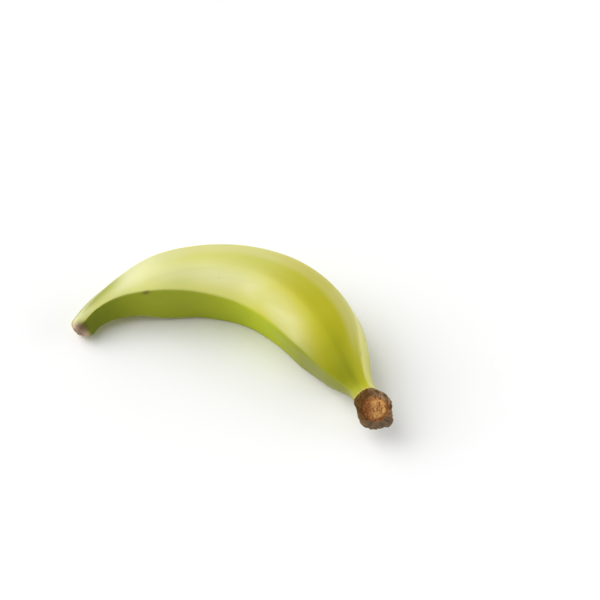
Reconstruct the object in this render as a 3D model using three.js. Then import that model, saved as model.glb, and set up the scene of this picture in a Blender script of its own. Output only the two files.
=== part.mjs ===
// A green cooking banana as picked, lying on its side the way it comes to rest.
//
// Millimetres and degrees. X runs along the straight line between the two ends, with the flower
// end at -X and the cut stalk at +X. Y points to the outer side of the bend, and Z is up. The
// table is the plane z = 0, and the origin is the middle of the fruit's footprint on it.

import * as THREE from 'three';

// ---- Driving dimensions ----

// Stations along the fruit, flower end first. x and y place the middle of the fruit in the plane
// of its bend, lift is how far it strays out of that plane, girth is its half-thickness, and
// ridging is how strongly its section is ridged, from 0, round, to 1.
const STATIONS = [
  { x: -98.5, y: -2, lift: 0.1, girth: 8.4, ridging: 0.8 },
  { x: -94, y: 14, lift: 0, girth: 8.9, ridging: 1 },
  { x: -82, y: 31, lift: -0.3, girth: 12.8, ridging: 1 },
  { x: -60, y: 47.5, lift: -0.4, girth: 20, ridging: 1 },
  { x: -31, y: 60, lift: -2, girth: 22.7, ridging: 1 },
  { x: 0, y: 63.5, lift: -2.5, girth: 24.6, ridging: 1 },
  { x: 30, y: 56, lift: -1, girth: 26, ridging: 1 },
  { x: 56.5, y: 40, lift: -0.5, girth: 24.3, ridging: 0.9 },
  { x: 75.5, y: 23.5, lift: 0, girth: 16.5, ridging: 0.75 },
  { x: 91, y: 10, lift: 1.5, girth: 7.8, ridging: 0.6 },
  { x: 104.5, y: -3.5, lift: 5.5, girth: 12, ridging: 1 },
];

// The ridges that the peel folds along. Each has its angle round the section at five evenly
// spaced places from flower end to stalk, 0 on the outer side of the bend and 90 on top, how far
// it stands out, against the mean girth, and how many columns of the mesh lie between it and the
// next ridge.
const RIDGES = Object.values({
  upperOuter: { angles: [78, 57, 40, 37, 66], reach: 1.1, columns: 5 },
  softTop: { angles: [90, 94, 93, 93, 101], reach: 1.035, columns: 6 },
  upperInner: { angles: [107, 131, 144, 145, 142], reach: 1.125, columns: 10 },
  lowerInner: { angles: [190, 214, 223, 224, 221], reach: 1.14, columns: 9 },
  underside: { angles: [290, 292, 293, 293, 305], reach: 1.14, columns: 8 },
  lowerOuter: { angles: [358, 353, 350, 350, 371], reach: 1.1, columns: 10 },
});
const RIDGE_CRISPNESS = 26; // higher gives flatter faces and tighter ridges
const ROUND_REACH = 1.03; // the same section with its ridges smoothed away

const TIP_CAP_LENGTH = 5; // the rounded end of the dried flower scar
const CUT_SHOULDER = 6; // the rounded edge of the cut stalk, measured along it
const CUT_FACE_SHARE = 0.56; // the flat cut face's width, as a share of the stalk's
const CUT_SLANT = 32; // the cut leans back from square
const CUT_SLANT_TOWARDS = 105; // the side of the section that it leans to
const CUT_SLANT_REACH = 22; // the last stretch of stalk that turns with the cut

// How the plane of the bend lies on the table: it leans about X and rolls about Y.
const LEAN = 11.5;
const ROLL = -3;
const REST_FLAT = 0.7; // depth that the peel flattens where it touches the table

// ---- Mesh density ----
const RINGS_ALONG = 66;
const RINGS_TIP = 5;
const RINGS_SHOULDER = 6;
const RINGS_FACE = 3;
const SIDES = RIDGES.reduce((total, { columns }) => total + columns, 0);
const EVEN_TIP = 0.08; // columns are spread evenly at the very tip and follow the ridges from here
const EVEN_START = 55; // angle of the first column where they are spread evenly

// ---- Curves ----

const spine = new THREE.CatmullRomCurve3(
  STATIONS.map(({ x, y, lift }) => new THREE.Vector3(x, y, lift)),
);
spine.arcLengthDivisions = 1000;
const SPINE_LENGTH = spine.getLength();

// A smooth curve through evenly spaced values, read by how far along it is, from 0 to 1.
function smoothRow(values) {
  const curve = new THREE.SplineCurve(values.map((value, i) => new THREE.Vector2(i, value)));
  return (along) => curve.getPoint(along).y;
}

const girthRow = smoothRow(STATIONS.map(({ girth }) => girth));
const ridgingRow = smoothRow(STATIONS.map(({ ridging }) => ridging));
const ridgeRows = RIDGES.map(({ angles }) => smoothRow(angles));

// The flats between neighbouring ridges at a fraction of the length, for a girth of 1. Each has
// the direction it faces and its distance from the middle.
function flatsAt(fraction) {
  const corners = RIDGES.map(({ reach }, i) => {
    const angle = THREE.MathUtils.degToRad(ridgeRows[i](fraction));
    return new THREE.Vector2(Math.cos(angle), Math.sin(angle)).multiplyScalar(reach);
  });
  return corners.map((corner, i) => {
    const next = corners[(i + 1) % corners.length];
    const normal = new THREE.Vector2(next.y - corner.y, corner.x - next.x).normalize();
    return { normal, distance: normal.dot(corner) };
  });
}

// Reach of the section towards an angle, for a girth of 1: flats with their corners rounded.
function sectionReach(flats, angle) {
  const direction = new THREE.Vector2(Math.cos(angle), Math.sin(angle));
  const sum = flats.reduce(
    (total, { normal, distance }) =>
      total + Math.max(0, normal.dot(direction) / distance) ** RIDGE_CRISPNESS,
    0,
  );
  return sum ** (-1 / RIDGE_CRISPNESS);
}

// The angle of every column of the mesh at a fraction of the length. Away from the tip, some
// columns run along the ridges and the others share out the faces between them.
function columnAngles(fraction) {
  const following = THREE.MathUtils.smoothstep(fraction, 0, EVEN_TIP);
  const ridges = ridgeRows.map((row) => row(fraction));
  const angles = ridges.flatMap((ridge, i) => {
    const turn = i + 1 < ridges.length ? 0 : 360;
    const next = ridges[(i + 1) % ridges.length] + turn;
    return Array.from({ length: RIDGES[i].columns }, (_, column) =>
      THREE.MathUtils.lerp(ridge, next, column / RIDGES[i].columns),
    );
  });
  return angles.map((angle, side) => {
    const even = EVEN_START + (side / SIDES) * 360;
    return THREE.MathUtils.degToRad(THREE.MathUtils.lerp(even, angle, following));
  });
}

// ---- Rings, from the flower end to the cut ----

// Each ring has the fraction of the length where it lies and the share of the girth it takes.
function ringPlan() {
  const tip = TIP_CAP_LENGTH / SPINE_LENGTH;
  const shoulder = CUT_SHOULDER / SPINE_LENGTH;
  const rings = [];
  for (let i = 1; i <= RINGS_TIP; i++) {
    const turn = (i / RINGS_TIP) * (Math.PI / 2);
    rings.push({ fraction: tip * (1 - Math.cos(turn)), share: Math.sin(turn) });
  }
  for (let i = 1; i < RINGS_ALONG; i++) {
    const fraction = THREE.MathUtils.lerp(tip, 1 - shoulder, i / RINGS_ALONG);
    rings.push({ fraction, share: 1 });
  }
  for (let i = 0; i <= RINGS_SHOULDER; i++) {
    const turn = (i / RINGS_SHOULDER) * (Math.PI / 2);
    const share = THREE.MathUtils.lerp(CUT_FACE_SHARE, 1, Math.cos(turn));
    rings.push({ fraction: 1 - shoulder * (1 - Math.sin(turn)), share });
  }
  for (let i = 1; i < RINGS_FACE; i++) {
    rings.push({ fraction: 1, share: CUT_FACE_SHARE * (1 - i / RINGS_FACE) });
  }
  return rings;
}

// The frame at a fraction of the length: outwards across the bend, up out of it, and along, with
// the half-thickness there and how strongly the section is ridged.
function frameAt(fraction) {
  const centre = spine.getPointAt(fraction);
  const station = spine.getUtoTmapping(fraction);
  const along = spine.getTangentAt(fraction);
  const outwards = new THREE.Vector3(0, 0, 1).cross(along).normalize();
  const up = new THREE.Vector3().crossVectors(along, outwards);
  return { centre, along, outwards, up, girth: girthRow(station), ridging: ridgingRow(station) };
}

// One point of the skin. Near the cut the rings slide along the stalk, so that the last ones lie
// in the slanted plane of the cut.
function skinPoint(ring, frame, flats, angle) {
  const ridged = THREE.MathUtils.lerp(ROUND_REACH, sectionReach(flats, angle), frame.ridging);
  const reach = frame.girth * ring.share * ridged;
  const slantAngle = THREE.MathUtils.degToRad(CUT_SLANT_TOWARDS);
  const turning = THREE.MathUtils.smoothstep(
    (ring.fraction - 1) * SPINE_LENGTH,
    -CUT_SLANT_REACH,
    0,
  );
  const slant = turning * Math.tan(THREE.MathUtils.degToRad(CUT_SLANT));
  return frame.centre
    .clone()
    .addScaledVector(frame.outwards, reach * Math.cos(angle))
    .addScaledVector(frame.up, reach * Math.sin(angle))
    .addScaledVector(frame.along, -slant * reach * Math.cos(angle - slantAngle));
}

function bananaGeometry() {
  const positions = [];
  const faces = [];
  const tipPole = spine.getPointAt(0);
  positions.push(tipPole.x, tipPole.y, tipPole.z);
  const rings = ringPlan();
  for (const ring of rings) {
    const frame = frameAt(ring.fraction);
    const flats = flatsAt(ring.fraction);
    for (const angle of columnAngles(ring.fraction)) {
      const point = skinPoint(ring, frame, flats, angle);
      positions.push(point.x, point.y, point.z);
    }
  }
  const cutPole = spine.getPointAt(1);
  positions.push(cutPole.x, cutPole.y, cutPole.z);

  const vertex = (ring, side) => 1 + ring * SIDES + (side % SIDES);
  const lastVertex = 1 + rings.length * SIDES;
  for (let side = 0; side < SIDES; side++) {
    faces.push(0, vertex(0, side + 1), vertex(0, side));
    for (let ring = 0; ring + 1 < rings.length; ring++) {
      const [a, b] = [vertex(ring, side), vertex(ring, side + 1)];
      const [c, d] = [vertex(ring + 1, side + 1), vertex(ring + 1, side)];
      faces.push(a, b, c, a, c, d);
    }
    faces.push(lastVertex, vertex(rings.length - 1, side), vertex(rings.length - 1, side + 1));
  }
  const geometry = new THREE.BufferGeometry();
  geometry.setAttribute('position', new THREE.Float32BufferAttribute(positions, 3));
  geometry.setIndex(faces);
  return geometry;
}

// Lays the fruit on the table: turns it, centres its footprint and flattens what touches.
function layDown(geometry) {
  geometry.rotateX(THREE.MathUtils.degToRad(LEAN));
  geometry.rotateY(THREE.MathUtils.degToRad(ROLL));
  geometry.computeBoundingBox();
  const { min, max } = geometry.boundingBox;
  geometry.translate(-(min.x + max.x) / 2, -(min.y + max.y) / 2, -min.z - REST_FLAT);
  const position = geometry.attributes.position;
  for (let i = 0; i < position.count; i++) {
    position.setZ(i, Math.max(0, position.getZ(i)));
  }
  geometry.computeVertexNormals();
  return geometry;
}

// ---- The part ----

const peel = new THREE.MeshStandardMaterial({ color: '#b9bd4e', roughness: 0.45, metalness: 0 });
const banana = new THREE.Mesh(layDown(bananaGeometry()), peel);
banana.name = 'banana';

const part = new THREE.Group();
part.add(banana);

export default part;
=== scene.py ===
# %% [markdown]
# # A green cooking banana, from its measured frame to its finished peel
#
# The real thing is one fruit that grew as one piece: a long five- or six-sided
# body with soft ridges, a blunt flower end, and a neck that runs into a woody
# stalk knob with a torn, fibrous cut face. The CAD part gives the true size
# and place. Blender adds what a measured solid can't hold: the waxy skin, the
# raised ridge lines, the bark of the knob, its fibres and the dry flower end.

# %% Load the measured frame
import math

import bmesh
import bpy
import numpy as np
from mathutils import Matrix, Vector


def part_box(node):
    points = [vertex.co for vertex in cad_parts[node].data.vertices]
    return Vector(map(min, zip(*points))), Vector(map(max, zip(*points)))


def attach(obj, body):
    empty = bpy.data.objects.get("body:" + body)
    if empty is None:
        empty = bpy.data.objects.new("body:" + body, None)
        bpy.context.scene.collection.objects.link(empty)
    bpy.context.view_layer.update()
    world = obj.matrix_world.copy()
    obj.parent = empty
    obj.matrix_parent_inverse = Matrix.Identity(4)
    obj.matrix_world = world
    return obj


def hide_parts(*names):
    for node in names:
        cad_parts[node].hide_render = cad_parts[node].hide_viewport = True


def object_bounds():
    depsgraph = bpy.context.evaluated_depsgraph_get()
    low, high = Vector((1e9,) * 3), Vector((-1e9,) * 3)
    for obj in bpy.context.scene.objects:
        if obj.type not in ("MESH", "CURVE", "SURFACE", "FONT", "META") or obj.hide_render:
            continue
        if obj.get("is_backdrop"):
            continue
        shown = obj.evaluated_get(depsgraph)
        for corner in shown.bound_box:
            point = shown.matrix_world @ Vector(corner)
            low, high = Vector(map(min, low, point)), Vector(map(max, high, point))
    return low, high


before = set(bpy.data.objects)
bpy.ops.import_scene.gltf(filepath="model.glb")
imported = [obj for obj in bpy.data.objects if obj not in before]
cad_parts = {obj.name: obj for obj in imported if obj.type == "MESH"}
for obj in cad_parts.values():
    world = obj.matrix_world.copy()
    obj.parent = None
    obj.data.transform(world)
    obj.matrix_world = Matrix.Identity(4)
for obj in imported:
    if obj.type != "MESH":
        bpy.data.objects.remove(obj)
cad_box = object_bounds()
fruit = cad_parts["banana"]
MM = 0.001
lowest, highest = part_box("banana")
print("fruit size in mm:", [round(side / MM, 1) for side in highest - lowest])

# %% [markdown]
# ## The camera
#
# A camera could be turned by hand until the view looks right. Here it is
# placed by two angles and a distance, because those can be read and changed
# one at a time. It stands in front of the inner bend, a little to the right,
# and looks down on the fruit, which lies left of the middle of the picture.
# Aiming beside the fruit would tip the picture if the camera were levelled
# again, so its up direction is kept and its three axes are set directly.

# %% Camera
VIEW_AZIMUTH = math.radians(21.0)
VIEW_ELEVATION = math.radians(50.85)
VIEW_DISTANCE = 0.8069
VIEW_CENTRE = Vector((0, 0, 0.02))
AIM_RIGHT = 0.03355
AIM_UP = 0.0119
LENS = 75

towards_camera = Vector((
    math.sin(VIEW_AZIMUTH) * math.cos(VIEW_ELEVATION),
    -math.cos(VIEW_AZIMUTH) * math.cos(VIEW_ELEVATION),
    math.sin(VIEW_ELEVATION),
))
camera_right = Vector((math.cos(VIEW_AZIMUTH), math.sin(VIEW_AZIMUTH), 0))
camera_up = towards_camera.cross(camera_right)
camera = bpy.data.objects.new("camera", bpy.data.cameras.new("camera"))
camera.data.lens = LENS
camera.location = VIEW_CENTRE + towards_camera * VIEW_DISTANCE
aim = VIEW_CENTRE + camera_right * AIM_RIGHT + camera_up * AIM_UP
back = (camera.location - aim).normalized()
right = camera_up.cross(back).normalized()
camera.rotation_euler = Matrix((right, back.cross(right), back)).transposed().to_euler()
bpy.context.scene.collection.objects.link(camera)
bpy.context.scene.camera = camera
bpy.context.scene.view_settings.view_transform = "Standard"
print("camera at", [round(value, 3) for value in camera.location])

# %% [markdown]
# ## Node maths that reads like maths
#
# Shader trees and Geometry Nodes trees share the same maths nodes. Adding each
# one by hand takes three lines. A small class that stands for one value on its
# way through a tree lets the sums below be written as sums.

# %% Values in a node tree
def feed(socket, value):
    """Gives a socket a value, or links it to the node that makes the value."""
    if isinstance(value, Flow):
        value.tree.links.new(value.socket, socket)
    else:
        socket.default_value = value


class Flow:
    """One value on its way through a node tree."""

    def __init__(self, tree, socket):
        self.tree = tree
        self.socket = socket

    def maths(self, operation, *others):
        """The result of one Math node on this value and the others."""
        node = self.tree.nodes.new("ShaderNodeMath")
        node.operation = operation
        for socket, value in zip(node.inputs, (self, *others)):
            feed(socket, value)
        return Flow(self.tree, node.outputs[0])

    def __add__(self, other):
        return self.maths("ADD", other)

    def __sub__(self, other):
        return self.maths("SUBTRACT", other)

    def __mul__(self, other):
        return self.maths("MULTIPLY", other)

    def bell(self, width):
        """1 where the value is 0, falling off like a bell over the width."""
        ratio = self.maths("DIVIDE", width)
        return (ratio * ratio * -1.0).maths("EXPONENT")

    def step(self, start, end, low=0.0, high=1.0):
        """Rises smoothly from low to high while the value goes from start to end."""
        node = self.tree.nodes.new("ShaderNodeMapRange")
        node.interpolation_type = "SMOOTHSTEP"
        for socket, value in zip(node.inputs, (self, start, end, low, high)):
            feed(socket, value)
        return Flow(self.tree, node.outputs[0])

    def stretch(self, across, along):
        """The unrolled place, scaled across and along the fruit."""
        node = self.tree.nodes.new("ShaderNodeVectorMath")
        node.operation = "MULTIPLY"
        feed(node.inputs[0], self)
        node.inputs[1].default_value = (across, across, along)
        return Flow(self.tree, node.outputs[0])

    def parts(self):
        """The three numbers of a vector, one by one."""
        node = self.tree.nodes.new("ShaderNodeSeparateXYZ")
        feed(node.inputs[0], self)
        return [Flow(self.tree, socket) for socket in node.outputs]

# %% Textures and blends in a node tree
def noise(place, scale=1.0, detail=2.0, roughness=0.5, distortion=0.0):
    """Cloudy variation between about 0.2 and 0.8 at the place."""
    node = place.tree.nodes.new("ShaderNodeTexNoise")
    feed(node.inputs["Vector"], place)
    settings = {"Scale": scale, "Detail": detail, "Roughness": roughness, "Distortion": distortion}
    for name, value in settings.items():
        node.inputs[name].default_value = value
    return Flow(place.tree, node.outputs[0])


def cells(place, feature="F1"):
    """Distance to the nearest of many scattered dots, or to the cracks between them."""
    node = place.tree.nodes.new("ShaderNodeTexVoronoi")
    node.feature = feature
    feed(node.inputs["Vector"], place)
    node.inputs["Scale"].default_value = 1.0
    return Flow(place.tree, node.outputs["Distance"])


def blend(factor, first, second):
    """A colour between the first and the second."""
    node = factor.tree.nodes.new("ShaderNodeMix")
    node.data_type = "RGBA"
    feed(node.inputs[0], factor)
    feed(node.inputs[6], first)
    feed(node.inputs[7], second)
    return Flow(factor.tree, node.outputs[2])

# %% [markdown]
# ## The skin as a net of rings
#
# The CAD part arrives as loose triangles. Subdividing those directly would
# show their diagonals. The real skin follows the fruit's length, so a merged
# copy of the part is walked ring by ring, from the flower end to the cut, and
# built again as a net of quads. The part's columns run along its ridges, so
# the sharpest bends round the middle ring tell which columns those are.

# %% Walk the CAD skin ring by ring
MERGE_DISTANCE = 1e-6
POLE_EDGES = 20
COLUMNS_TO_NEXT_RIDGE = {
    "upper_outer": 5, "soft_top": 6, "upper_inner": 10,
    "lower_inner": 9, "underside": 8, "lower_outer": 10,
}
SIDES = sum(COLUMNS_TO_NEXT_RIDGE.values())
starts = np.cumsum([0, *COLUMNS_TO_NEXT_RIDGE.values()])[:-1]
RIDGE_COLUMN = dict(zip(COLUMNS_TO_NEXT_RIDGE, starts.tolist()))


def next_ring(ring, used):
    """The ring beside this one, with its points in the same columns."""
    fresh = [{e.other_vert(v) for e in v.link_edges} - used for v in ring]
    shared = [(fresh[i - 1] & fresh[i]).pop() for i in range(len(ring))]
    here = sum((v.co - w.co).length for v, w in zip(ring, shared))
    back = sum((v.co - w.co).length for v, w in zip(ring[-1:] + ring[:-1], shared))
    return shared if here < back else shared[1:] + shared[:1]


def walk_skin(node):
    """Rings of points of a swept CAD node, and its flower pole and cut pole."""
    skin = bmesh.new()
    skin.from_mesh(node.data)
    bmesh.ops.remove_doubles(skin, verts=skin.verts, dist=MERGE_DISTANCE)
    poles = [v for v in skin.verts if len(v.link_edges) > POLE_EDGES]
    flower_pole, cut_pole = sorted(poles, key=lambda v: v.co.x)
    round_pole = {e.other_vert(flower_pole) for e in flower_pole.link_edges}
    ring = [min(round_pole, key=lambda v: v.index)]
    while len(ring) < len(round_pole):
        beside = {e.other_vert(ring[-1]) for e in ring[-1].link_edges} & round_pole
        ring.append(min(beside - set(ring), key=lambda v: v.index))
    rings, used = [ring], {flower_pole, *ring}
    while {e.other_vert(v) for v in rings[-1] for e in v.link_edges} - used != {cut_pole}:
        rings.append(next_ring(rings[-1], used))
        used |= set(rings[-1])
    points = np.array([[tuple(v.co) for v in ring] for ring in rings])
    ends = np.array(flower_pole.co), np.array(cut_pole.co)
    skin.free()
    return points, ends

# %% Put the ridges on their columns
def start_at_ridge(points):
    """Turns the rings so that column 0 is the upper outer ridge and columns rise over the top."""
    middle = np.abs(points.mean(1)[:, 0]).argmin()
    spokes = points[middle] - points[middle].mean(0)
    ahead = points[middle + 1].mean(0) - points[middle].mean(0)
    if np.cross(spokes, np.roll(spokes, -1, axis=0)).sum(0) @ ahead < 0:
        points = points[:, ::-1]
    edges = np.roll(points[middle], -1, axis=0) - points[middle]
    edges /= np.linalg.norm(edges, axis=1)[:, None]
    bend = 1 - (edges * np.roll(edges, 1, axis=0)).sum(1)
    matches = [bend[(starts + shift) % SIDES].sum() for shift in range(SIDES)]
    return np.roll(points, -int(np.argmax(matches)), axis=1)


rings, (flower_pole, cut_pole) = walk_skin(fruit)
rings = start_at_ridge(rings)
RINGS = len(rings)
centres = rings.mean(1)
steps = np.linalg.norm(np.diff(centres, axis=0), axis=1)
lengths = np.concatenate([[0], np.cumsum(steps)])
FRUIT_LENGTH = float(lengths[-1])
print("net:", RINGS, "rings of", SIDES, "points,", round(FRUIT_LENGTH / MM), "mm round the bend")

# %% [markdown]
# ## Where a point would be if the fruit were straight
#
# Marks on a banana follow its bend. A pattern read at the point's own place
# would cut across the bend instead. So each net point keeps its unrolled
# place: how far along the fruit it is, and two sideways numbers that say where
# it is round the fruit. It keeps its ring's number too, which tells skin from
# knob, and says which faces it belongs to, because each face has its own tone.
# Ridge edges get a crease so that smoothing leaves them crisp. A flat map of
# the skin, as if it were peeled off in one sheet, serves to bake the finish.

# %% Unrolled places
FIRST_RIDGE_ANGLE = math.radians(40)


def unrolled_places():
    """Each net point as if the fruit were straight: two sideways numbers and the length."""
    radii = np.linalg.norm(rings - centres[:, None], axis=2)
    steps = np.linalg.norm(np.roll(rings, -1, axis=1) - rings, axis=2)
    walked = np.cumsum(steps, axis=1) - steps
    angles = FIRST_RIDGE_ANGLE + walked / steps.sum(1)[:, None] * 2 * math.pi
    across = radii * np.cos(angles), radii * np.sin(angles)
    return np.stack([*across, np.repeat(lengths[:, None], SIDES, 1)], -1)


UNROLLED = unrolled_places()
print("unrolled places of", UNROLLED.shape[0] * UNROLLED.shape[1], "points")

# %% Faces and creases
CRISPNESS = {
    "upper_outer": 0.42, "soft_top": 0.0, "upper_inner": 0.5,
    "lower_inner": 0.42, "underside": 0.4, "lower_outer": 0.42,
}
CRISP_RINGS = (6, 10, 36, 46, 60, 62)
INNER_RIDGE_SHARE = (0, 1, 1, 0.3, 0.2, 0)
OTHER_RIDGE_SHARE = (0, 1, 1, 1, 1, 0)
FACES = {
    "inner_face": ("upper_inner", "lower_inner"),
    "outer_face": ("lower_outer", "upper_outer"),
}
TIP_RIDGE_COLUMN = {"upper_outer": 3.0, "upper_inner": 6.0}
TIP_RINGS = 8


def ridge_columns(name):
    """The column where a ridge runs on each ring; at the tip the ridges draw together."""
    at_tip = TIP_RIDGE_COLUMN.get(name, RIDGE_COLUMN[name])
    return np.interp(np.arange(RINGS), (2, TIP_RINGS), (at_tip, RIDGE_COLUMN[name]))[:, None]


def on_face(first_ridge, last_ridge):
    """For each net point: 1 between the two ridges, a half on either of them, 0 elsewhere."""
    first, last = ridge_columns(first_ridge), ridge_columns(last_ridge)
    width = (last - first) % SIDES
    past = (np.arange(SIDES)[None] - first + SIDES / 4) % SIDES - SIDES / 4
    return np.clip(past + 0.5, 0, 1) * np.clip(width - past + 0.5, 0, 1)


def crease_of(first, second):
    """How crisp the edge between two net points stays when the net is smoothed."""
    ring, column = divmod(first - 1, SIDES)
    names = [name for name, place in RIDGE_COLUMN.items() if place == column]
    if abs(second - first) != SIDES or not names:
        return 0.0
    share = INNER_RIDGE_SHARE if names[0] == "upper_inner" else OTHER_RIDGE_SHARE
    return CRISPNESS[names[0]] * float(np.interp(ring, CRISP_RINGS, share))


for name, ridges in FACES.items():
    print(name, "covers", int((on_face(*ridges) > 0).sum()), "points")

# %% A flat map for baking
def flat_map():
    """Corner places of the skin laid flat: the first number runs along it, the second round it."""
    poles = np.repeat([[flower_pole]], SIDES, 1), np.repeat([[cut_pole]], SIDES, 1)
    skin = np.concatenate([poles[0], rings, poles[1]])
    walked = np.cumsum(np.linalg.norm(np.diff(skin, axis=0), axis=2).mean(1))
    along = np.concatenate([[0], walked / walked[-1]])
    sides = np.arange(SIDES + 1) / SIDES
    middles = (sides[:-1] + sides[1:]) / 2
    flower = [((0, m), (along[1], b), (along[1], a)) for a, b, m in zip(sides, sides[1:], middles)]
    cut = [((1, m), (along[-2], a), (along[-2], b)) for a, b, m in zip(sides, sides[1:], middles)]
    body = [
        ((u, a), (u, b), (v, b), (v, a))
        for u, v in zip(along[1:-2], along[2:-1]) for a, b in zip(sides, sides[1:])
    ]
    return [corner for face in flower + body + cut for corner in face]

# %% Build the net
def store(mesh, name, kind, domain, values):
    """Gives the mesh a named attribute with the values."""
    slot = {"FLOAT": "value", "FLOAT_VECTOR": "vector"}[kind]
    attribute = mesh.attributes.new(name, kind, domain)
    attribute.data.foreach_set(slot, np.asarray(values, np.float32).ravel())


def make_net():
    """The skin as quads between the rings, with a fan of triangles at each pole."""
    points = np.concatenate([[flower_pole], rings.reshape(-1, 3), [cut_pole]])
    grid = 1 + np.arange(RINGS * SIDES).reshape(RINGS, SIDES)
    after = np.roll(grid, -1, axis=1)
    quads = np.stack([grid[:-1], after[:-1], after[1:], grid[1:]], -1).reshape(-1, 4)
    last = len(points) - 1
    flower_fan = [(0, int(b), int(a)) for a, b in zip(grid[0], after[0])]
    cut_fan = [(last, int(a), int(b)) for a, b in zip(grid[-1], after[-1])]
    net = bpy.data.meshes.new("peel_net")
    net.from_pydata(points.tolist(), [], flower_fan + quads.tolist() + cut_fan)
    flat = net.uv_layers.new(name="OFBake")
    flat.uv.foreach_set("vector", np.array(flat_map(), np.float32).ravel())
    places = [[0, 0, 0]], UNROLLED.reshape(-1, 3), [[0, 0, FRUIT_LENGTH]]
    places = np.concatenate(places)
    store(net, "unrolled", "FLOAT_VECTOR", "POINT", places)
    store(net, "ring", "FLOAT", "POINT", [-1, *np.repeat(np.arange(RINGS), SIDES), RINGS])
    for name, ridges in FACES.items():
        store(net, name, "FLOAT", "POINT", [0, *on_face(*ridges).ravel(), 0])
    creases = [crease_of(*sorted(edge.vertices)) for edge in net.edges]
    store(net, "ridge_crease", "FLOAT", "EDGE", creases)
    return net


net = make_net()
check = bmesh.new()
check.from_mesh(net)
print("net volume in cm3:", round(check.calc_volume(signed=True) * 1e6, 1))
check.free()

# %% [markdown]
# ## The ridges as lines
#
# On each of its ridges a banana's skin stands up in a thin line. A line could
# be painted, but then a view from the side would show a smooth edge. Here each
# crisp ridge is a real path along its column of the net, and the skin near the
# path is lifted in the next step.

# %% Ridge paths
FIRST_RIDGE_RING, LAST_RIDGE_RING = 5, 66


def make_ridge_paths():
    """One path along each crisp ridge, from the flower end to the neck."""
    points, edges = [], []
    for name, column in RIDGE_COLUMN.items():
        if CRISPNESS[name]:
            first = len(points)
            points += rings[FIRST_RIDGE_RING:LAST_RIDGE_RING, column].tolist()
            edges += [(k, k + 1) for k in range(first, len(points) - 1)]
    paths = bpy.data.meshes.new("ridge_paths")
    paths.from_pydata(points, edges, [])
    return bpy.data.objects.new("ridge_paths", paths)


ridge_paths = make_ridge_paths()
bpy.context.scene.collection.objects.link(ridge_paths)
print("ridge paths have", len(ridge_paths.data.edges), "steps")

# %% [markdown]
# ## A tree of nodes that shapes the skin
#
# The skin follows one rule all over: a smooth swept body, lifted along its
# ridge paths, gently uneven on its faces, furrowed lengthwise where it narrows
# to the neck and the flower end, and rough like bark on the knob. A rule is
# what Geometry Nodes are for, so every size is a named input that can be
# turned while looking at the fruit. Two helpers start and run such a tree.

# %% Start and run a Geometry Nodes tree
def start_tree(name, inputs):
    """A new tree with a geometry in and out, and the named inputs as Flows."""
    tree = bpy.data.node_groups.new(name, "GeometryNodeTree")
    tree.interface.new_socket("Geometry", in_out="OUTPUT", socket_type="NodeSocketGeometry")
    tree.interface.new_socket("Geometry", in_out="INPUT", socket_type="NodeSocketGeometry")
    for label, kind in inputs.items():
        tree.interface.new_socket(label, in_out="INPUT", socket_type="NodeSocket" + kind)
    start = tree.nodes.new("NodeGroupInput")
    return tree, {socket.name: Flow(tree, socket) for socket in start.outputs if socket.name}


def place_node(tree, kind, inputs, out=0, **options):
    """Adds a node with its options set and its inputs fed by name; returns one output."""
    node = tree.nodes.new(kind)
    for name, value in options.items():
        setattr(node, name, value)
    for name, value in inputs.items():
        feed(node.inputs[name], value)
    return Flow(tree, node.outputs[out])


def named_value(tree, name, kind="FLOAT"):
    """An attribute of the mesh, read by its name."""
    return place_node(tree, "GeometryNodeInputNamedAttribute", {"Name": name}, data_type=kind)


def end_tree(tree, shape, finish):
    """Realizes the instances, sets the finish, and closes the tree."""
    shape = place_node(tree, "GeometryNodeRealizeInstances", {"Geometry": shape})
    shape = place_node(tree, "GeometryNodeSetMaterial", {"Geometry": shape, "Material": finish})
    feed(tree.nodes.new("NodeGroupOutput").inputs[0], shape)


def run_tree(name, tree, mesh, values):
    """Runs the tree on the mesh with the values given, and returns a plain mesh object."""
    source = bpy.data.objects.new(name + "_source", mesh)
    bpy.context.scene.collection.objects.link(source)
    modifier = source.modifiers.new(name, "NODES")
    modifier.node_group = tree
    for item in tree.interface.items_tree:
        if item.in_out == "INPUT" and item.name in values:
            modifier[item.identifier] = values[item.name]
    graph = bpy.context.evaluated_depsgraph_get()
    made = bpy.data.meshes.new_from_object(source.evaluated_get(graph), depsgraph=graph)
    made.name = name
    bpy.data.objects.remove(source)
    piece = bpy.data.objects.new(name, made)
    bpy.context.scene.collection.objects.link(piece)
    made.calc_loop_triangles()
    print(name + ":", len(made.loop_triangles), "triangles")
    return piece

# %% [markdown]
# ## The skin's own tree
#
# Heights are added up and the skin is moved along its normals by the sum. The
# faces' unevenness is broad and very low, as a hand feels it. The furrows read
# only the direction round the fruit, so they run lengthwise and close up as the
# neck narrows. The knob is bark: plates with cracks between them and a grain
# along the stalk, and it sags a little on its low side. Its cut face sinks
# inside a ragged rim, off the middle as the knife left it. The flower end
# sinks at its scar, and so does the one old bruise on a ridge. Nothing may
# pass below the table. Places along the fruit are ring numbers, and sides of
# it are degrees round it: 40 on the upper outer ridge, rising over the top.

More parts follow.
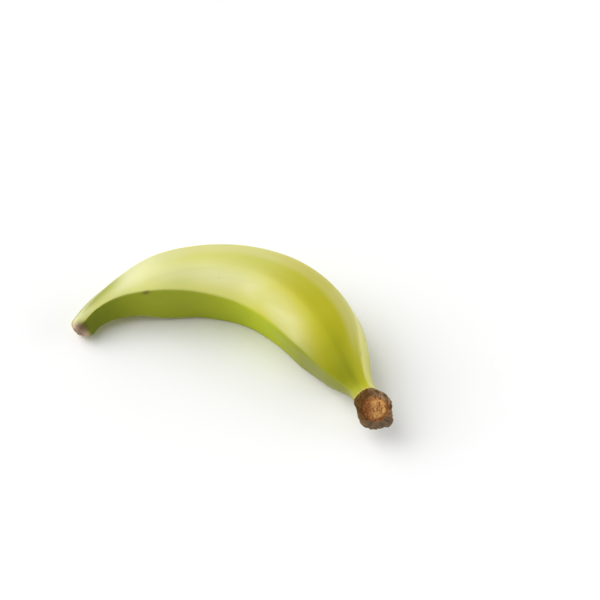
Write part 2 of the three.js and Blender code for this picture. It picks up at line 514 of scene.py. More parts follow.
# %% Places on the skin
SIDE = {
    "outer_ridge": 47, "inner_ridge": 145, "flank": 333, "hidden": 335, "sheen_side": 48,
    "shaded_tip": 12, "pale_neck": 30, "shaded_underside": 185, "collar": 178, "sagging": 240,
    "lit_knob_side": 20, "top_edge": 25, "dark_bark": 105, "shaded_bark_below": 235,
}
RIDGE_RINGS = (1.5, 5, 63, 66.5)
FLOWER_RINGS = (0.5, 3, 4, 14)
NECK_RINGS = (57, 65, 67.5, 69.5)
KNOB_START_RING = 69.1
CUT_FROM_RING = 73.6
CUT_CENTRE = (1.4 * MM, 2.1 * MM, 0)
CUT_RADIUS = 7.9 * MM
CUT_RAGGED = 2.6 * MM
RIM_WIDTH = 1.0 * MM
SCAR_RING, SCAR_COLUMN = 2, 8
SCAR_CENTRE = tuple(UNROLLED[SCAR_RING, SCAR_COLUMN].tolist())
SCAR_WIDTH = 3.4 * MM
BRUISE_RINGS, BRUISE_COLUMNS = slice(17, 19), slice(11, 13)
BRUISE_CENTRE = tuple(UNROLLED[BRUISE_RINGS, BRUISE_COLUMNS].mean((0, 1)).tolist())
BRUISE_WIDTH = 1.6 * MM
BRUISE_RAGGED = 1.6 * MM
print("bruise at", round(BRUISE_CENTRE[2] / MM), "mm of", round(FRUIT_LENGTH / MM))

# %% Where a point is on the skin
def round_direction(place):
    """Which way a point faces round the fruit, as a vector of length 1 with no length along it."""
    flat = place.stretch(1, 0)
    return place_node(place.tree, "ShaderNodeVectorMath", {"Vector": flat}, operation="NORMALIZE")


def facing(place, side):
    """1 on the named side of the fruit, -1 on the far side."""
    x, y, _ = round_direction(place).parts()
    angle = math.radians(SIDE[side])
    return x * math.cos(angle) + y * math.sin(angle)


def between(ring, start, full, fade, end):
    """A mask that rises from the start ring to the full one and falls from fade to end."""
    return ring.step(start, full) * ring.step(end, fade)


def furrow_place(place, count, along):
    """A place for noise that gives about so many lengthwise furrows round the fruit."""
    turned = round_direction(place).stretch(count, count)
    drift = place.stretch(0, along)
    return place_node(place.tree, "ShaderNodeVectorMath", {0: turned, 1: drift})


def distance_to(place, centre):
    """How far a place is from the centre, in metres."""
    ends = {0: place, 1: centre}
    return place_node(place.tree, "ShaderNodeVectorMath", ends, out="Value", operation="DISTANCE")


def distance_to_bruise(place, squash):
    """How far a place is from the bruise, with lengths along the fruit squashed."""
    centre = (*BRUISE_CENTRE[:2], BRUISE_CENTRE[2] * squash)
    return distance_to(place.stretch(1, squash), centre)

# %% Heights on the skin
def cut_parts(place, ring):
    """Two masks on the end of the knob: the sunk cut face, and the rim round it."""
    ragged = (noise(place.stretch(420, 0), detail=3) - 0.5) * CUT_RAGGED
    outwards = distance_to(place.stretch(1, 0), CUT_CENTRE) + ragged
    on_end = ring.step(CUT_FROM_RING, CUT_FROM_RING + 0.8)
    face = outwards.step(CUT_RADIUS + 0.6 * MM, CUT_RADIUS - 0.5 * MM) * on_end
    rim = (outwards - (CUT_RADIUS + 1.1 * MM)).bell(RIM_WIDTH) * on_end
    return face, rim


def bark_plates(place):
    """1 on the plates of the bark, falling to 0 in the cracks between them."""
    return cells(furrow_place(place, 2.4, 110), feature="DISTANCE_TO_EDGE").step(0.0, 0.09)


def ridge_line(place, ring, away, width):
    """1 along the ridges, wandering, and fainter on the inner ridge towards the stalk."""
    line = away.bell(width) * between(ring, *RIDGE_RINGS)
    fainter = facing(place, "inner_ridge").step(0.6, 0.95) * ring.step(36, 46)
    wander = noise(place.stretch(40, 25)).step(0.35, 0.65, 0.55, 1.0)
    return line * (fainter * -0.8 + 1.0) * wander


def bark_height(place, given):
    """Lumps, plates with cracks, and a fine grain along the stalk."""
    lumps = noise(furrow_place(place, 1.5, 120), detail=1.0) - 0.45
    plates = bark_plates(place) - 0.6
    grain = noise(furrow_place(place, 7.5, 160), detail=4) - 0.5
    coarse = lumps * given["Lump height"] + plates * given["Plate height"]
    return coarse + grain * given["Grain height"]


def skin_height(given, place, ring, away):
    """How far each point of the skin moves outwards: all its forms added up."""
    uneven = noise(place.stretch(38, 19), detail=1.5) - 0.5
    drawn_in = between(ring, *NECK_RINGS) + between(ring, *FLOWER_RINGS)
    furrows = (noise(furrow_place(place, 3.2, 9)) - 0.5) * drawn_in
    face, rim = cut_parts(place, ring)
    knob = ring.step(KNOB_START_RING - 0.6, KNOB_START_RING + 0.8)
    knob = knob * (face * -1.0 + 1.0)
    fibres = noise(place.stretch(800, 800), detail=4, distortion=1.2) - 0.5
    sunk = fibres * given["Fibre height"] - given["Cut depth"]
    scar = distance_to(place, SCAR_CENTRE).bell(SCAR_WIDTH) * -1.0 * given["Scar depth"]
    scar = scar + ring.step(3.4, 1.6) * fibres * given["Fibre height"]
    bruise = distance_to_bruise(place, 0.6).bell(BRUISE_WIDTH) * given["Bruise depth"]
    height = ridge_line(place, ring, away, given["Ridge width"]) * given["Ridge height"]
    height = height + uneven * given["Uneven height"] + furrows * given["Furrow height"]
    height = height + bark_height(place, given) * knob
    height = height + (rim * given["Rim height"] + face * sunk) + scar - bruise
    return height + facing(place, "sagging").step(0.7, 1.0) * knob * given["Knob sag"]

# %% Skin tree
PEEL_INPUTS = {
    "Smoothing levels": "Int", "Ridge paths": "Object", "Ridge height": "Float",
    "Ridge width": "Float", "Uneven height": "Float", "Furrow height": "Float",
    "Lump height": "Float", "Plate height": "Float", "Grain height": "Float",
    "Rim height": "Float", "Cut depth": "Float", "Fibre height": "Float",
    "Scar depth": "Float", "Bruise depth": "Float", "Knob sag": "Float", "Finish": "Material",
}


def build_peel_tree():
    """Smooths the net, lifts it by its heights, and keeps it above the table."""
    tree, given = start_tree("peel_shape", PEEL_INPUTS)
    smooth = place_node(tree, "GeometryNodeSubdivisionSurface", {
        "Mesh": given["Geometry"], "Level": given["Smoothing levels"],
        "Edge Crease": named_value(tree, "ridge_crease"),
    })
    place = named_value(tree, "unrolled", "FLOAT_VECTOR")
    ring = named_value(tree, "ring")
    paths = {"Object": given["Ridge paths"]}
    paths = {"Geometry": place_node(tree, "GeometryNodeObjectInfo", paths, out="Geometry")}
    away = place_node(tree, "GeometryNodeProximity", paths, out="Distance", target_element="EDGES")
    height = skin_height(given, place, ring, away)
    push = {0: place_node(tree, "GeometryNodeInputNormal", {}), "Scale": height}
    push = place_node(tree, "ShaderNodeVectorMath", push, operation="SCALE")
    shape = place_node(tree, "GeometryNodeSetPosition", {"Geometry": smooth, "Offset": push})
    x, y, z = place_node(tree, "GeometryNodeInputPosition", {}).parts()
    above = {"X": x, "Y": y, "Z": z.maths("MAXIMUM", 0.0)}
    above = place_node(tree, "ShaderNodeCombineXYZ", above)
    shape = place_node(tree, "GeometryNodeSetPosition", {"Geometry": shape, "Position": above})
    kept = {"Geometry": shape, "Name": "ridge", "Value": away}
    shape = place_node(tree, "GeometryNodeStoreNamedAttribute", kept)
    shape = place_node(tree, "GeometryNodeSetShadeSmooth", {"Geometry": shape})
    end_tree(tree, shape, given["Finish"])
    return tree


peel_tree = build_peel_tree()
print("skin tree:", len(peel_tree.nodes), "nodes")

# %% [markdown]
# ## The skin's finish
#
# Green banana skin is satin: a thin wax over firm tissue. Its colour drifts
# from pale lime at the flower end to olive yellow near the stalk. Painted
# highlights lie on it: a pale line that drifts from the top to the inner
# ridge, a cream line on the outer ridge, a rim on the outer face and a sheen
# on the flower end's upper side. The inner bend is deeper green, partly its
# own colour and partly painted shade, and has less wax. The flower end and
# the neck are darker, partly their own green and partly painted shade, and
# painted shade lies under the neck. The side that lies low has faint
# lengthwise scratches. All of it could be painted on an image, but nodes that
# read the unrolled place and the faces stay sharp at any distance and follow
# the bend by themselves. Each tone covers what lies under it by its own share,
# and steps along the fruit are shares of its length, from the flower end.

# %% Colours of the skin
PALE_LIME = (0.58, 0.58, 0.15, 1)
OLIVE_LIME = (0.45, 0.425, 0.016, 1)
# Painted highlight: pale cream laid along the line where the light is reflected.
PAINTED_HIGHLIGHT = (0.69, 0.68, 0.37, 1)
# Painted sheen: a pale highlight tone.
PAINTED_SHEEN = (0.72, 0.71, 0.48, 1)
WAX_TINT = (1.0, 0.98, 0.2, 1)
# Greens of the inner bend: partly its own tone, partly painted shade.
INNER_GREEN_AND_SHADE = (0.42, 0.475, 0.010, 1)
DEEP_GREEN_AND_SHADE = (0.27, 0.315, 0.010, 1)
# Painted rim highlight for the outer face.
OUTER_RIM_HIGHLIGHT = (0.64, 0.61, 0.17, 1)
# Painted highlight: pale cream along the upper outer ridge.
RIDGE_HIGHLIGHT_CREAM = (0.66, 0.63, 0.33, 1)
GOLDEN_OLIVE = (0.50, 0.43, 0.02, 1)
FLANK_GREEN = (0.38, 0.42, 0.03, 1)
# Green of the flower end: partly its own tone, partly painted shade.
TIP_GREEN_AND_SHADE = (0.19, 0.23, 0.02, 1)
TIP_SHADE = (0.12, 0.15, 0.012, 1)
# Dark olive of the neck: partly its own colour, partly painted shade.
NECK_GREEN_AND_SHADE = (0.22, 0.23, 0.008, 1)
# Painted shade for the underside near the neck.
UNDERSIDE_SHADE = (0.13, 0.15, 0.01, 1)
LEAF_GREEN = (0.30, 0.42, 0.045, 1)
COLLAR_YELLOW = (0.55, 0.47, 0.14, 1)
SCUFF_TAN = (0.40, 0.29, 0.12, 1)
BRUISE_BROWN = (0.13, 0.075, 0.03, 1)
COVER = {
    "ridge_highlight": 0.45, "golden_patch": 0.35, "tip_green_and_shade": 0.3, "shaded_tip": 0.7,
    "tip_shade": 0.85, "underside": 0.45, "collar": 0.3, "leaf_patch": 0.2,
    "streak": 0.05, "flank_streak": 0.2, "rubbed_tan": 0.35, "speck": 0.4,
    "scratch": 0.3, "bruise": 0.75,
}
print(len(COVER), "tones and marks lie over the green")

# %% Start a finish
def start_finish(name):
    """A new material with its shader; returns the tree and the shader's inputs."""
    material = bpy.data.materials.new(name)
    material.use_nodes = True
    return material, material.node_tree, material.node_tree.nodes["Principled BSDF"].inputs


def read_attribute(tree, name, out="Fac"):
    """An attribute of the piece, as its material sees it."""
    return place_node(tree, "ShaderNodeAttribute", {}, out=out, attribute_name=name)

# %% Tones from tip to stalk
# Where the painted highlight runs: its angle round the fruit drifts along the fruit.
HIGHLIGHT_START, HIGHLIGHT_TURN = math.radians(62), math.radians(100)
HIGHLIGHT_WIDTH = math.radians(21)


def highlight_line(place, along):
    """1 along the painted highlight line: it drifts from the top to the inner ridge."""
    x, y, _ = place.parts()
    middle = along * HIGHLIGHT_TURN + HIGHLIGHT_START
    line = (y.maths("ARCTAN2", x) - middle).bell(HIGHLIGHT_WIDTH)
    return line * along.step(0.04, 0.16) * along.step(0.86, 0.7)


def colour_of_sunny_faces(tree, place, along, mottle, flank):
    """Pale lime drifting to olive, with a painted rim highlight outside, a painted highlight line,
    a painted cream highlight along the outer ridge, and gold patches.
    """
    colour = blend(along.step(0.36, 0.72) + mottle * 0.45, PALE_LIME, OLIVE_LIME)
    # Painted rim highlight: the outer face is paler, fully so towards the stalk.
    rim_highlight = read_attribute(tree, "outer_face").step(0.0, 0.7)
    colour = blend(rim_highlight * along.step(0.5, 0.75, 0.6, 1.0), colour, OUTER_RIM_HIGHLIGHT)
    colour = blend(flank * (mottle * 0.8 + 0.5), colour, FLANK_GREEN)
    # Painted highlight: pale cream along the highlight line.
    colour = blend(highlight_line(place, along) * (mottle * 0.8 + 0.7), colour, PAINTED_HIGHLIGHT)
    # Painted highlight: a pale cream line along the upper outer ridge.
    rubbed_and_ridge_highlight = (facing(place, "outer_ridge") - 1.0).bell(0.035)
    rubbed_and_ridge_highlight = rubbed_and_ridge_highlight * along.step(0.12, 0.2) * along.step(0.9, 0.75)
    colour = blend(rubbed_and_ridge_highlight * COVER["ridge_highlight"], colour, RIDGE_HIGHLIGHT_CREAM)
    golden = noise(place.stretch(30, 16), scale=1.3, detail=2).step(0.46, 0.66)
    golden = golden * along.step(0.45, 0.6)
    return blend(golden * COVER["golden_patch"], colour, GOLDEN_OLIVE)


def colour_of_tip(place, along, mottle, colour):
    """Greener towards the flower end, partly its own tone and partly painted shade; painted shade
    on its shaded side and a painted sheen on its upper side.
    """
    # Greener towards the flower end, partly its own tone and partly painted shade; painted shade on
    # its shaded side.
    colour = blend(along.step(0.22, 0.1) * COVER["tip_green_and_shade"], colour, TIP_GREEN_AND_SHADE)
    shaded = facing(place, "shaded_tip").step(0.5, 0.95) * along.step(0.3, 0.12)
    colour = blend(shaded * COVER["shaded_tip"], colour, TIP_GREEN_AND_SHADE)
    # Painted sheen on the flower end's upper side and at its very end.
    sheen = along.step(0.12, 0.19, 0.12, 0.8) * along.step(0.36, 0.2)
    sheen = (sheen + along.step(0.09, 0.03) * 0.6) * facing(place, "sheen_side").step(0.72, 0.97)
    return blend(sheen * (mottle * 0.8 + 0.7), colour, PAINTED_SHEEN)

# %% The peel's colour, with painted highlights and shade
def colour_of_green(tree, place, ring):
    """The peel's colour with its painted highlights and painted shade, before bark and scars."""
    along = place.parts()[2] * (1 / FRUIT_LENGTH)
    mottle = noise(place.stretch(42, 20), detail=3) - 0.5
    flank = facing(place, "flank").step(0.5, 0.95)
    colour = colour_of_sunny_faces(tree, place, along, mottle, flank)
    colour = colour_of_tip(place, along, mottle, colour)
    # The inner bend: deeper green, partly its own tone and partly painted shade.
    inner = read_attribute(tree, "inner_face").step(0.3, 0.7)
    inner_green_and_shade = blend(along.step(0.3, 0.58) + mottle * 0.5, DEEP_GREEN_AND_SHADE, INNER_GREEN_AND_SHADE)
    colour = blend(inner * along.step(0.3, 0.5, 0.93, 0.98), colour, inner_green_and_shade)
    tip = along.step(0.22, 0.03) * inner
    colour = blend(tip * COVER["tip_shade"], colour, TIP_SHADE)
    # The neck darkens, partly its own olive and partly painted shade over its flare, except on its
    # pale side.
    neck_green_and_shade = along.step(0.72, 0.9).maths("MAXIMUM", along.step(0.6, 0.8) * inner)
    neck_green_and_shade = neck_green_and_shade * facing(place, "pale_neck").step(0.95, 0.5)
    colour = blend(neck_green_and_shade * (mottle * 0.6 + 0.85), colour, NECK_GREEN_AND_SHADE)
    # Painted shade on the side facing down, towards the neck.
    shaded_underside = facing(place, "shaded_underside").step(0.45, 0.95) * along.step(0.62, 0.85)
    colour = blend(shaded_underside * COVER["underside"], colour, UNDERSIDE_SHADE)
    collar = facing(place, "collar").step(0.3, 0.9) * ring.step(64, 67)
    colour = blend(collar * COVER["collar"], colour, COLLAR_YELLOW)
    patches = noise(place.stretch(24, 13), detail=2).step(0.45, 0.7)
    colour = blend(patches * COVER["leaf_patch"], colour, LEAF_GREEN)
    streaks = noise(furrow_place(place, 10, 9), detail=1.5).step(0.5, 0.8)
    streaks = streaks * (flank * COVER["flank_streak"] + COVER["streak"])
    return blend(streaks, colour, LEAF_GREEN)

# %% Marks on the skin
def add_marks(tree, place, colour):
    """Tan lines rubbed along the ridges, specks, faint scratches, and one old bruise."""
    ridge = read_attribute(tree, "ridge").bell(0.8 * MM) * read_attribute(tree, "ring").step(9, 14)
    rubbed_and_ridge_highlight = noise(place.stretch(160, 55), detail=4).step(0.56, 0.66)
    colour = blend(ridge * rubbed_and_ridge_highlight * COVER["rubbed_tan"], colour, SCUFF_TAN)
    specks = cells(place.stretch(150, 110)).step(0.075, 0.04)
    specks = specks * noise(place.stretch(30, 30)).step(0.5, 0.62)
    colour = blend(specks * COVER["speck"], colour, BRUISE_BROWN)
    hidden = facing(place, "hidden").step(0.6, 0.9)
    scratches = noise(place.stretch(480, 60), detail=3, distortion=0.4).step(0.60, 0.70)
    colour = blend(scratches * hidden * COVER["scratch"], colour, SCUFF_TAN)
    edge = (noise(place.stretch(700, 500), detail=3) - 0.5) * BRUISE_RAGGED
    bruise = (distance_to_bruise(place, 0.5) + edge).step(2.8 * MM, 0.3 * MM)
    return blend(bruise * COVER["bruise"], colour, BRUISE_BROWN)

# %% [markdown]
# ## Bark, cut face and flower scar
#
# The ends are dry. The knob's bark is dark in its cracks and paler on its top
# edge, with painted light on its lit side and painted shade below. The cut face
# has orange threads inside a rust rim, with a painted shadow of its wall over
# its upper left. The flower end is tan and flecked, with one dark spot. The
# same masks that shaped these parts colour them, so that form and colour stay
# together.

# %% Colours of the dry ends
BARK_DARK = (0.09, 0.032, 0.009, 1)
BARK_LIGHT = (0.29, 0.15, 0.065, 1)
# Painted light for the bark's lit side.
BARK_PAINTED_LIGHT = (0.42, 0.27, 0.16, 1)
# Paler bark for the knob's top edge.
BARK_TOP_EDGE = (0.48, 0.33, 0.22, 1)
# Painted shade for the bark's low side.
BARK_SHADE_BELOW = (0.16, 0.115, 0.09, 1)
BARK_CRACK = (0.03, 0.010, 0.004, 1)
CUT_ORANGE = (0.96, 0.57, 0.20, 1)
# Rust of the cut's rim, also the painted shadow on its upper left.
CUT_RUST_AND_SHADOW = (0.30, 0.085, 0.02, 1)
TIP_TAN = (0.62, 0.42, 0.34, 1)
TIP_BROWN = (0.22, 0.125, 0.08, 1)
TIP_DARK = (0.10, 0.055, 0.032, 1)
# Centre of the painted shadow that the wall casts on the cut face.
CUT_SHADE_CENTRE = (-4.5 * MM, 9 * MM, 0)
DRY_COVER = {
    "collar_edge": 0.5, "lit_bark": 0.8, "top_edge_bark": 0.5, "bark_crack": 0.4,
    "shaded_bark_below": 0.6, "tip_tan": 0.9, "tip_fleck": 0.35, "tip_button": 0.45, "tip_dark": 0.85,
}
print(len(DRY_COVER), "tones lie over the dry ends")

# %% Bark, cut face and flower scar
def colour_of_bark(place, ring):
    """Brown bark: painted light on its lit side, paler on its top edge, dark in the cracks, painted
    shade below.
    """
    patches = noise(furrow_place(place, 5, 150), detail=5, roughness=0.6).step(0.36, 0.68)
    patches = patches * facing(place, "dark_bark").step(0.97, 0.3, 0.1, 1.0)
    # Painted light: the bark is paler on its lit side.
    lit_knob_side = facing(place, "lit_knob_side").step(0.1, 0.9) * DRY_COVER["lit_bark"]
    brown = blend(patches, BARK_DARK, blend(lit_knob_side, BARK_LIGHT, BARK_PAINTED_LIGHT))
    # Paler on the knob's top edge, next to the cut.
    top_edge = facing(place, "top_edge").step(0.85, 1.0) * ring.step(72.0, 73.4)
    brown = blend(top_edge * DRY_COVER["top_edge_bark"], brown, BARK_TOP_EDGE)
    cracks = bark_plates(place).step(0.7, 0.1)
    brown = blend(cracks * DRY_COVER["bark_crack"], brown, BARK_CRACK)
    # Painted shade: the bark darkens on its low side.
    bark_shade_below = facing(place, "shaded_bark_below").step(0.0, 0.9)
    return blend(bark_shade_below * DRY_COVER["shaded_bark_below"], brown, BARK_SHADE_BELOW)


def add_bark(place, ring, colour):
    """The knob's bark and the cut face; also returns where the surface is dry."""
    ragged = (noise(furrow_place(place, 9, 60), detail=4) - 0.5) * 1.6
    edge = ring + ragged
    collar = (edge - (KNOB_START_RING - 0.6)).bell(0.5)
    colour = blend(collar * DRY_COVER["collar_edge"], colour, COLLAR_YELLOW)
    bark = edge.step(KNOB_START_RING - 0.3, KNOB_START_RING + 0.25)
    colour = blend(bark, colour, colour_of_bark(place, ring))
    face, _ = cut_parts(place, ring)
    flat = place.stretch(1, 0)
    threads = noise(place.stretch(320, 320), detail=5, distortion=1.2).step(0.34, 0.55)
    threads = threads * distance_to(flat, CUT_CENTRE).step(CUT_RADIUS, CUT_RADIUS * 0.65)
    # Painted shadow: the cut face turns dark rust towards its upper left, where its wall would
    # shade it.
    lit = distance_to(flat, CUT_SHADE_CENTRE).step(CUT_RADIUS * 0.6, CUT_RADIUS * 1.3)
    return blend(face, colour, blend(threads * lit, CUT_RUST_AND_SHADOW, CUT_ORANGE)), bark


def add_flower_scar(place, ring, colour):
    """The dry flower end: tan where the skin ends, dark where the flower sat."""
    wander = (noise(place.stretch(300, 300), detail=4) - 0.5) * 2.4
    tan = (ring + wander).step(3.8, 1.2)
    colour = blend(tan * DRY_COVER["tip_tan"], colour, TIP_TAN)
    flecks = noise(place.stretch(700, 700), detail=4).step(0.48, 0.66) * DRY_COVER["tip_fleck"]
    button = (ring + wander * 0.5).step(1.6, 0.2) * DRY_COVER["tip_button"]
    colour = blend(tan * flecks.maths("MAXIMUM", button), colour, TIP_BROWN)
    spot = distance_to(place, SCAR_CENTRE) + wander * (1.5 * MM)
    dark = spot.step(7.0 * MM, 0.5 * MM)
    return blend(dark * DRY_COVER["tip_dark"], colour, TIP_DARK), tan.maths("MAXIMUM", dark)

# %% [markdown]
# ## Gloss and fine relief
#
# Wax is satin and a little uneven, so its roughness drifts. Bark, scars and
# the unwaxed inner bend are rougher. Pores and the bark's finest grain are too
# small to be worth faces, and are the only relief left to a bump.

# %% Skin finish
SATIN_ROUGHNESS, SATIN_DRIFT = 0.33, 0.12
DRY_ROUGHER, UNWAXED_ROUGHER = 0.42, 0.3
UNWAXED_UNTIL, UNWAXED_GONE = FRUIT_LENGTH * 0.6, FRUIT_LENGTH * 0.82
WAX_SPECULAR_LEVEL = 0.4
PORE_HEIGHT, BARK_GRAIN_HEIGHT = 0.02 * MM, 0.45 * MM
BUMP_STRENGTH = 0.6


def make_peel_finish():
    """The whole skin in one material: colour, roughness and fine bump."""
    material, tree, shader = start_finish("peel_skin")
    place = read_attribute(tree, "unrolled", "Vector")
    ring = read_attribute(tree, "ring")
    colour = add_marks(tree, place, colour_of_green(tree, place, ring))
    colour, bark = add_bark(place, ring, colour)
    colour, scar = add_flower_scar(place, ring, colour)
    feed(shader["Base Color"], colour)
    dry = bark.maths("MAXIMUM", scar)
    satin = noise(place.stretch(45, 22), detail=3) * SATIN_DRIFT + SATIN_ROUGHNESS
    unwaxed = read_attribute(tree, "inner_face").step(0.3, 0.7)
    unwaxed = unwaxed * place.parts()[2].step(UNWAXED_GONE, UNWAXED_UNTIL)
    rougher = (dry * DRY_ROUGHER).maths("MAXIMUM", unwaxed * UNWAXED_ROUGHER)
    feed(shader["Roughness"], satin + rougher)
    shader["Specular IOR Level"].default_value = WAX_SPECULAR_LEVEL
    shader["Specular Tint"].default_value = WAX_TINT
    pores = noise(place.stretch(1500, 900), detail=2) * PORE_HEIGHT
    grain = noise(place.stretch(1300, 420), detail=5, roughness=0.65) * BARK_GRAIN_HEIGHT
    relief = {"Height": pores + grain * dry, "Distance": 1.0, "Strength": BUMP_STRENGTH}
    feed(shader["Normal"], place_node(tree, "ShaderNodeBump", relief))
    return material


peel_finish = make_peel_finish()
print("skin finish:", len(peel_finish.node_tree.nodes), "nodes")

# %% [markdown]
# ## The finished skin
#
# The tree now runs once on the net, with its sizes. What comes out is a plain
# mesh in the finished fruit's place, so the modifier and the paths can go.

# %% Run the skin tree
PEEL_SIZES = {
    "Smoothing levels": 2, "Ridge paths": ridge_paths, "Ridge height": 0.35 * MM,
    "Ridge width": 1.3 * MM, "Uneven height": 1.4 * MM, "Furrow height": 0.8 * MM,
    "Lump height": 3.0 * MM, "Plate height": 0.5 * MM, "Grain height": 1.8 * MM,
    "Rim height": 0.7 * MM, "Cut depth": 1.1 * MM, "Fibre height": 1.6 * MM,
    "Scar depth": 0.5 * MM, "Bruise depth": 0.25 * MM, "Knob sag": 1.4 * MM,
    "Finish": peel_finish,
}
peel = run_tree("banana_peel", peel_tree, net, PEEL_SIZES)
bpy.data.objects.remove(ridge_paths)
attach(peel, "root")
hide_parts("banana")

# %% [markdown]
# ## Torn fibres
#
# A stalk that is cut or snapped leaves the ends of its fibres standing, and
# the dead flower leaves a patch of short bristles. So many thin stubs would be
# slow to place by hand. Geometry Nodes scatter a five-sided stub over part of
# the finished skin, in clumps, each with its own length, tilt and tone. One
# tree serves both ends, and the fixed seed keeps every run the same.

# %% Fibre tree
FIBRE_INPUTS = {
    "First ring": "Float", "Last ring": "Float", "Centre": "Vector", "Reach": "Float",
    "Density": "Float", "Shortest": "Float", "Longest": "Float", "Thickness": "Float",
    "Tilt": "Float", "Seed": "Int", "Finish": "Material",
}
STUB = {"Vertices": 5, "Radius Top": 0.25, "Radius Bottom": 1.0, "Depth": 1.0}
STUB_LEAN = (-1, -1, 0), (1, 1, 6)


def random_value(tree, low, high, seed, kind="FLOAT"):
    """A random number or vector for each stub, between low and high."""
    node = tree.nodes.new("FunctionNodeRandomValue")
    node.data_type = kind
    ends = [socket for socket in node.inputs if socket.enabled and socket.name in ("Min", "Max")]
    for socket, value in zip(ends, (low, high)):
        feed(socket, value)
    feed(node.inputs["Seed"], seed)
    return Flow(tree, next(socket for socket in node.outputs if socket.enabled))


def scatter_points(tree, given):
    """Points in clumps on part of the skin, and the way that each stands up from it."""
    place = named_value(tree, "unrolled", "FLOAT_VECTOR")
    ring = named_value(tree, "ring")
    within = ring.maths("GREATER_THAN", given["First ring"])
    within = within * ring.maths("LESS_THAN", given["Last ring"])
    near = distance_to(place.stretch(1, 0), given["Centre"])
    near = near.maths("LESS_THAN", given["Reach"])
    clumps = noise(place.stretch(520, 520)).step(0.38, 0.62)
    scatter = tree.nodes.new("GeometryNodeDistributePointsOnFaces")
    feed(scatter.inputs["Mesh"], given["Geometry"])
    feed(scatter.inputs["Density"], given["Density"] * within * near * clumps)
    feed(scatter.inputs["Seed"], given["Seed"])
    return Flow(tree, scatter.outputs["Points"]), Flow(tree, scatter.outputs["Rotation"])


def build_fibre_tree():
    """A leaning, tapered stub on each scattered point."""
    tree, given = start_tree("torn_fibres", FIBRE_INPUTS)
    points, standing = scatter_points(tree, given)
    stub = place_node(tree, "GeometryNodeMeshCone", STUB, out="Mesh")
    lean = random_value(tree, *STUB_LEAN, given["Seed"], "FLOAT_VECTOR")
    lean = {0: lean, "Scale": given["Tilt"]}
    lean = {"Euler": place_node(tree, "ShaderNodeVectorMath", lean, operation="SCALE")}
    lean = place_node(tree, "FunctionNodeEulerToRotation", lean)
    turned = {"Rotation": standing, "Rotate By": lean}
    turned = place_node(tree, "FunctionNodeRotateRotation", turned, rotation_space="LOCAL")
    length = random_value(tree, given["Shortest"], given["Longest"], given["Seed"] + 1)
    size = {"X": given["Thickness"], "Y": given["Thickness"], "Z": length}
    stubs = place_node(tree, "GeometryNodeInstanceOnPoints", {
        "Points": points, "Instance": stub, "Rotation": turned,
        "Scale": place_node(tree, "ShaderNodeCombineXYZ", size),
    })
    tone = random_value(tree, 0.0, 1.0, given["Seed"] + 2)
    tone = {"Geometry": stubs, "Name": "tone", "Value": tone}
    stubs = place_node(tree, "GeometryNodeStoreNamedAttribute", tone, domain="INSTANCE")
    end_tree(tree, stubs, given["Finish"])
    return tree


fibre_tree = build_fibre_tree()
print("fibre tree:", len(fibre_tree.nodes), "nodes")

# %% [markdown]
# ## Two dry finishes
#
# Fibres torn from the stalk are pale orange to rust. The dead flower's
# bristles are tan to brown. Each stub's tone comes from its own random number,
# so that neighbours can be told apart.

# %% Fibre finishes
FIBRE_PALE = (0.92, 0.60, 0.26, 1)
FIBRE_RUST = (0.48, 0.20, 0.055, 1)
FLOWER_TAN = (0.36, 0.24, 0.16, 1)
FLOWER_BROWN = (0.12, 0.075, 0.045, 1)


def make_fibre_finish(name, dark, light):
    """Dry matt fibre: each stub has its own tone, mottled along its length."""
    material, tree, shader = start_finish(name)
    here = place_node(tree, "ShaderNodeTexCoord", {}, out="Object")
    mottle = noise(here, scale=1400, detail=3) - 0.5
    feed(shader["Base Color"], blend(read_attribute(tree, "tone") + mottle * 0.5, dark, light))
    feed(shader["Roughness"], mottle * 0.2 + 0.8)
    return material


cut_fibre_finish = make_fibre_finish("cut_fibre", FIBRE_RUST, FIBRE_PALE)
flower_fibre_finish = make_fibre_finish("flower_fibre", FLOWER_BROWN, FLOWER_TAN)
print("fibre finishes:", cut_fibre_finish.name, "and", flower_fibre_finish.name)

# %% Scatter the fibres
FIBRE_PIECES = {
    "cut_face_fibres": {
        "First ring": CUT_FROM_RING, "Last ring": RINGS + 1.0, "Centre": CUT_CENTRE,
        "Reach": CUT_RADIUS * 0.95, "Density": 6.0 / MM ** 2, "Shortest": 0.2 * MM,
        "Longest": 0.8 * MM, "Thickness": 0.12 * MM, "Tilt": 0.35, "Seed": 4,
        "Finish": cut_fibre_finish,
    },
    "flower_scar_fibres": {
        "First ring": -2.0, "Last ring": 0.9, "Centre": (0, 0, 0),
        "Reach": 4 * MM, "Density": 9.0 / MM ** 2, "Shortest": 0.1 * MM,
        "Longest": 0.6 * MM, "Thickness": 0.07 * MM, "Tilt": 0.6, "Seed": 9,
        "Finish": flower_fibre_finish,
    },
}
for name, sizes in FIBRE_PIECES.items():
    fibres = run_tree(name, fibre_tree, peel.data, sizes)
    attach(fibres, "root")
    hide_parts("banana")

# %% [markdown]
# ## Floor and light
#
# A white table in a bright studio: one pale floor far larger than the view, a
# sky that is white low down so that floor and background meet without a line,
# two broad softboxes on the flower end's side, a soft one overhead, and a strip
# behind the stalk that lights the knob. The wide sources keep shadows faint.

# %% Floor
FLOOR_RADIUS = 8.0
FLOOR_DROP = 0.0002
FLOOR_WHITE = (0.93, 0.93, 0.93, 1)


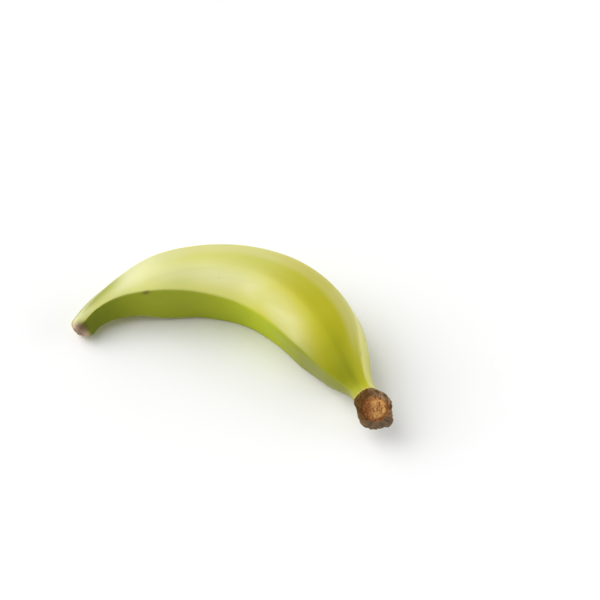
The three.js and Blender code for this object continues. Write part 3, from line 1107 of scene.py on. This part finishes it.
def make_floor():
    """One flat white disc, a hair below the fruit, and matt."""
    mesh = bpy.data.meshes.new("floor")
    shape = bmesh.new()
    bmesh.ops.create_circle(shape, cap_ends=True, segments=96, radius=FLOOR_RADIUS)
    bmesh.ops.translate(shape, verts=shape.verts, vec=(0, 0, -FLOOR_DROP))
    shape.to_mesh(mesh)
    shape.free()
    floor = bpy.data.objects.new("floor", mesh)
    material, _, shader = start_finish("white_table")
    shader["Base Color"].default_value = FLOOR_WHITE
    shader["Roughness"].default_value = 0.9
    shader["Specular IOR Level"].default_value = 0.1
    mesh.materials.append(material)
    bpy.context.scene.collection.objects.link(floor)
    return floor


floor = make_floor()
floor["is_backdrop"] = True
print("floor:", FLOOR_RADIUS * 2, "m wide")

# %% Lights
LIGHTS = (
    ("front_left_softbox", 1.5, 75, 206, 42),
    ("side_softbox", 1.8, 70, 172, 26),
    ("overhead_softbox", 0.95, 90, 140, 75),
    ("back_right_strip", 1.4, 50, 25, 14),
)


def add_sun(name, strength, spread, azimuth, elevation):
    """Even light from one side: spread is how wide the source looks, azimuth runs from +X to +Y."""
    light = bpy.data.lights.new(name, "SUN")
    light.energy = strength
    light.angle = math.radians(spread)
    lamp = bpy.data.objects.new(name, light)
    turn, rise = math.radians(azimuth), math.radians(elevation)
    level = math.cos(rise)
    source = Vector((math.cos(turn) * level, math.sin(turn) * level, math.sin(rise)))
    lamp.rotation_euler = source.to_track_quat("Z", "Y").to_euler()
    lamp.location = source
    bpy.context.scene.collection.objects.link(lamp)


for settings in LIGHTS:
    add_sun(*settings)
print("lights:", [name for name, *_ in LIGHTS])

# %% Sky
HORIZON = (1.0, 1.0, 1.0, 1)
ZENITH = (0.04, 0.04, 0.04, 1)
WHITE_UP_TO, DARK_FROM = 0.2, 0.42


def make_sky():
    """White low down, dark overhead; the heights are sines of the elevation."""
    world = bpy.data.worlds.new("studio")
    bpy.context.scene.world = world
    world.use_nodes = True
    tree = world.node_tree
    direction = place_node(tree, "ShaderNodeTexCoord", {}, out="Generated")
    height = direction.parts()[2]
    shade = blend(height.step(WHITE_UP_TO, DARK_FROM), HORIZON, ZENITH)
    feed(tree.nodes["Background"].inputs["Color"], shade)


make_sky()
print("sky:", HORIZON[0], "at the horizon,", ZENITH[0], "overhead")

# %% Measure and finish
seen_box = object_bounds()
boxes = {"cad": [list(corner) for corner in cad_box], "seen": [list(corner) for corner in seen_box]}
for name, box in boxes.items():
    print(name, "size in mm:", [round((high - low) / MM, 1) for low, high in zip(*box)])
